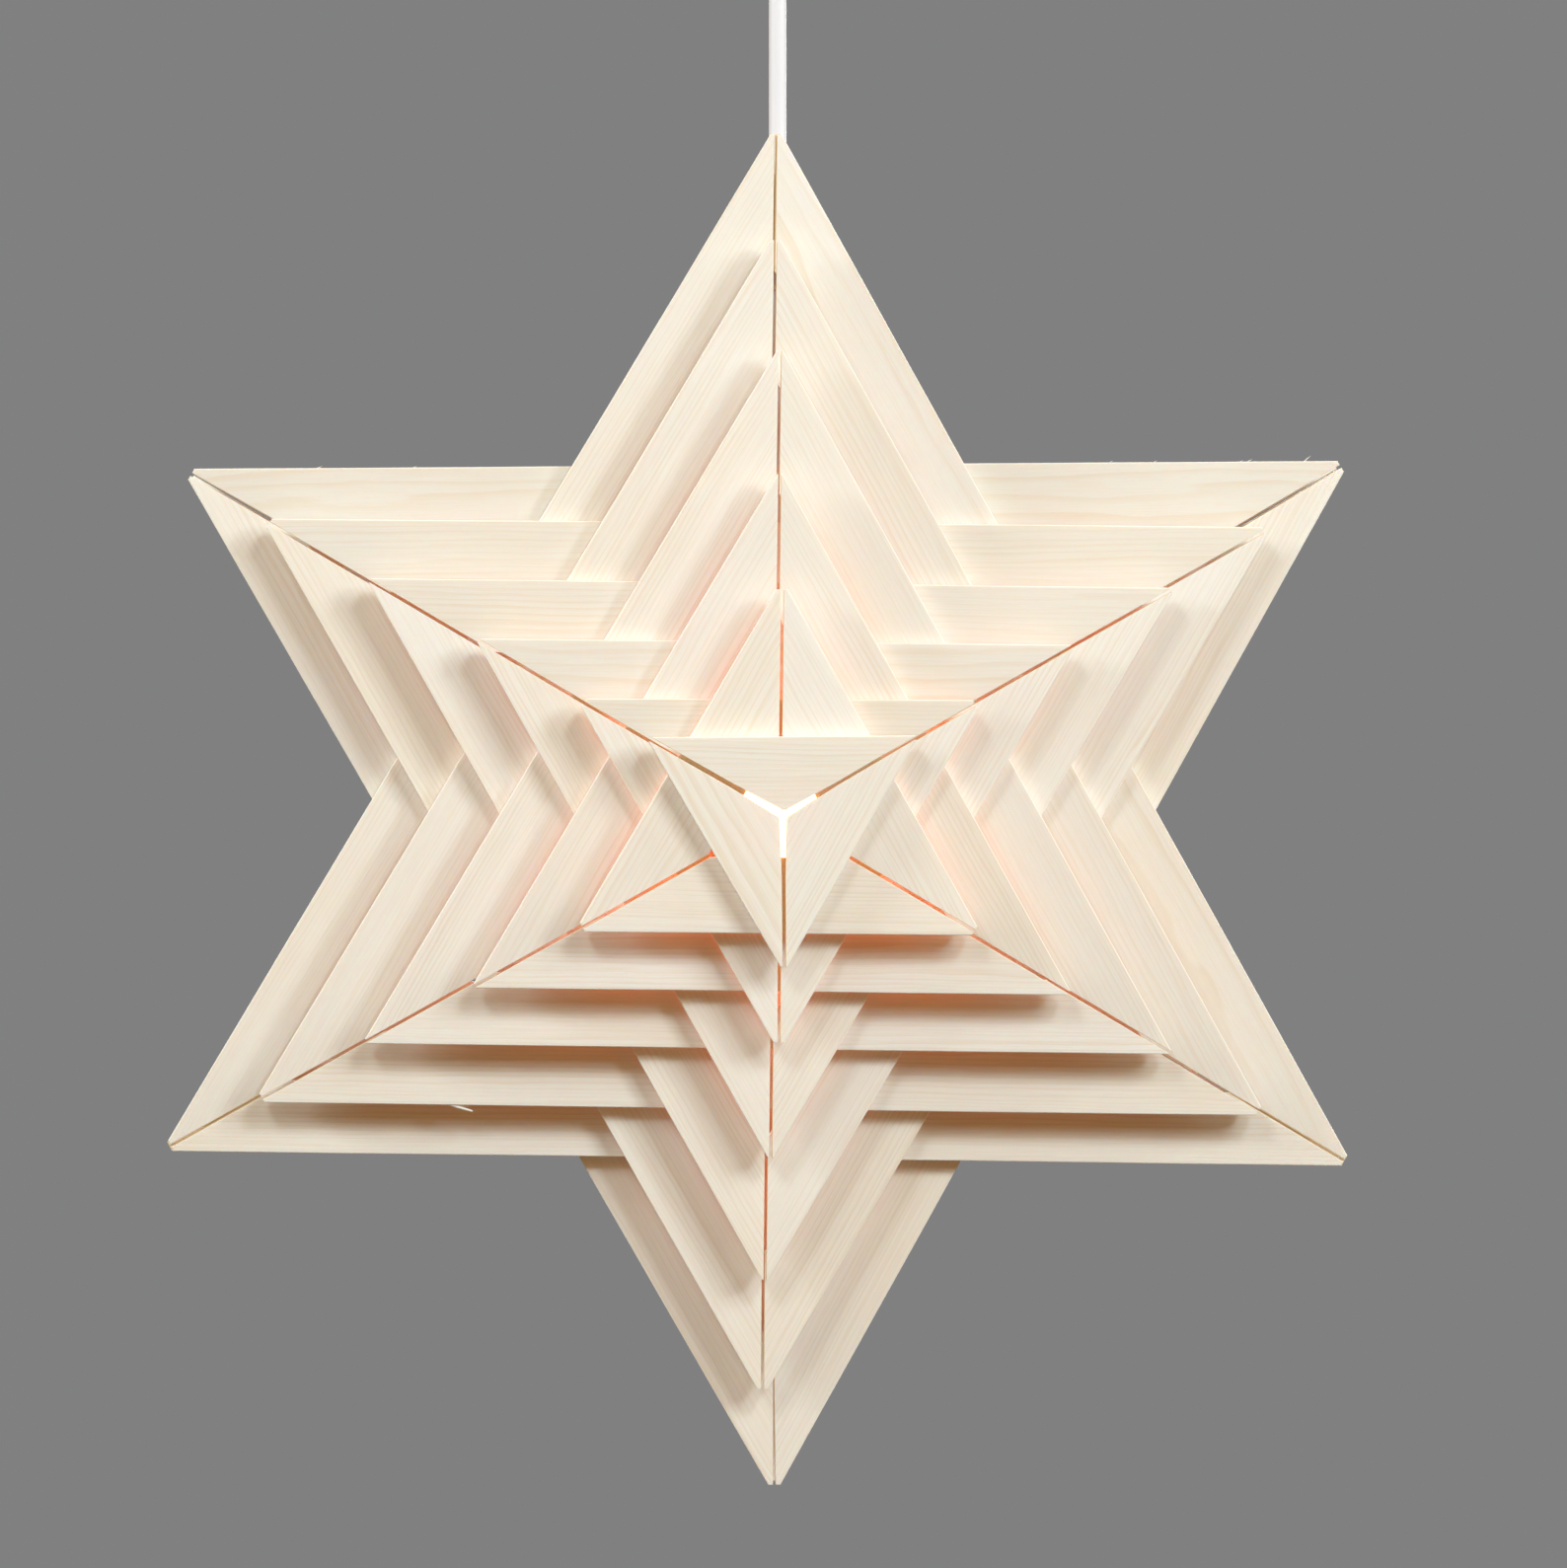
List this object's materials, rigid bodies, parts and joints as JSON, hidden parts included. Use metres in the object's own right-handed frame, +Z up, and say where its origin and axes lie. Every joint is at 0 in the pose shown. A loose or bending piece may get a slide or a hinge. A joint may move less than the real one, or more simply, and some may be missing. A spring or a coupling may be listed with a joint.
{
  "type": "hanging star lamp",
  "caption": "Hanging six-pointed star lamp of pale wooden strips stacked in alternating triangles, lit from inside by a bulb, on a cord from a ceiling cup.",
  "frame": {"origin": "on the ceiling, at the middle of the ceiling plate's top face, straight above the cord", "axes": "+Z up, -Y the way the star's front faces, +X to the right as seen from the front"},
  "size_m": [0.3949, 0.097, 0.5615],
  "materials": {
    "pale_pine": "bare pale softwood strip, straight fine grain, lightly sanded",
    "white_cord": "smooth white round cable sheath, satin",
    "white_plastic": "white moulded plastic, satin",
    "opal_glass": "opal white bulb glass, lit warm white",
    "nickel": "nickel-plated screw cap",
    "brass": "bright brass contact parts",
    "zinc_steel": "zinc-plated pressed steel"
  },
  "bodies": {
    "ceiling": {"ceiling_plate": "zinc_steel", "ceiling_cup": "white_plastic"},
    "grip": {"cord_grip": "white_plastic"},
    "star": {"back_layer_01_left": "pale_pine", "back_layer_01_right": "pale_pine", "back_layer_01_top": "pale_pine", "back_layer_02_bottom": "pale_pine", "back_layer_02_left": "pale_pine", "back_layer_02_right": "pale_pine", "back_layer_03_left": "pale_pine", "back_layer_03_right": "pale_pine", "back_layer_03_top": "pale_pine", "back_layer_04_bottom": "pale_pine", "back_layer_04_left": "pale_pine", "back_layer_04_right": "pale_pine", "cord": "white_cord", "cord_lock": "white_plastic", "front_layer_01_left": "pale_pine", "front_layer_01_right": "pale_pine", "front_layer_01_top": "pale_pine", "front_layer_02_bottom": "pale_pine", "front_layer_02_left": "pale_pine", "front_layer_02_right": "pale_pine", "front_layer_03_left": "pale_pine", "front_layer_03_right": "pale_pine", "front_layer_03_top": "pale_pine", "front_layer_04_bottom": "pale_pine", "front_layer_04_left": "pale_pine", "front_layer_04_right": "pale_pine", "front_layer_05_left": "pale_pine", "front_layer_05_right": "pale_pine", "front_layer_05_top": "pale_pine", "front_layer_06_bottom": "pale_pine", "front_layer_06_left": "pale_pine", "front_layer_06_right": "pale_pine", "front_layer_07_left": "pale_pine", "front_layer_07_right": "pale_pine", "front_layer_07_top": "pale_pine", "front_layer_08_bottom": "pale_pine", "front_layer_08_left": "pale_pine", "front_layer_08_right": "pale_pine", "front_layer_09_left": "pale_pine", "front_layer_09_right": "pale_pine", "front_layer_09_top": "pale_pine", "front_layer_10_bottom": "pale_pine", "front_layer_10_left": "pale_pine", "front_layer_10_right": "pale_pine", "front_layer_11_left": "pale_pine", "front_layer_11_right": "pale_pine", "front_layer_11_top": "pale_pine", "lampholder_contact": "brass", "lampholder_dome": "white_plastic", "lampholder_shell": "white_plastic", "lampholder_sleeve": "brass", "left_block": "pale_pine", "right_block": "pale_pine", "top_block": "pale_pine"},
    "bulb": {"bulb_glass": "opal_glass", "bulb_cap": "nickel"}
  },
  "joints": [
    {"name": "star_turn", "type": "hinge", "parent": "ceiling", "child": "grip", "pos_m": [0, 0, -0.054], "axis": [0, 0, 1], "range_deg": [-180, 180]},
    {"name": "star_swing", "type": "hinge", "parent": "grip", "child": "star", "pos_m": [0, 0, -0.05195], "axis": [1, 0, 0], "range_deg": [-15, 15]},
    {"name": "bulb_screw", "type": "hinge", "parent": "star", "child": "bulb", "pos_m": [0, 0, -0.3376], "axis": [0, 0, -1], "range_deg": [0, 1080]}
  ]
}
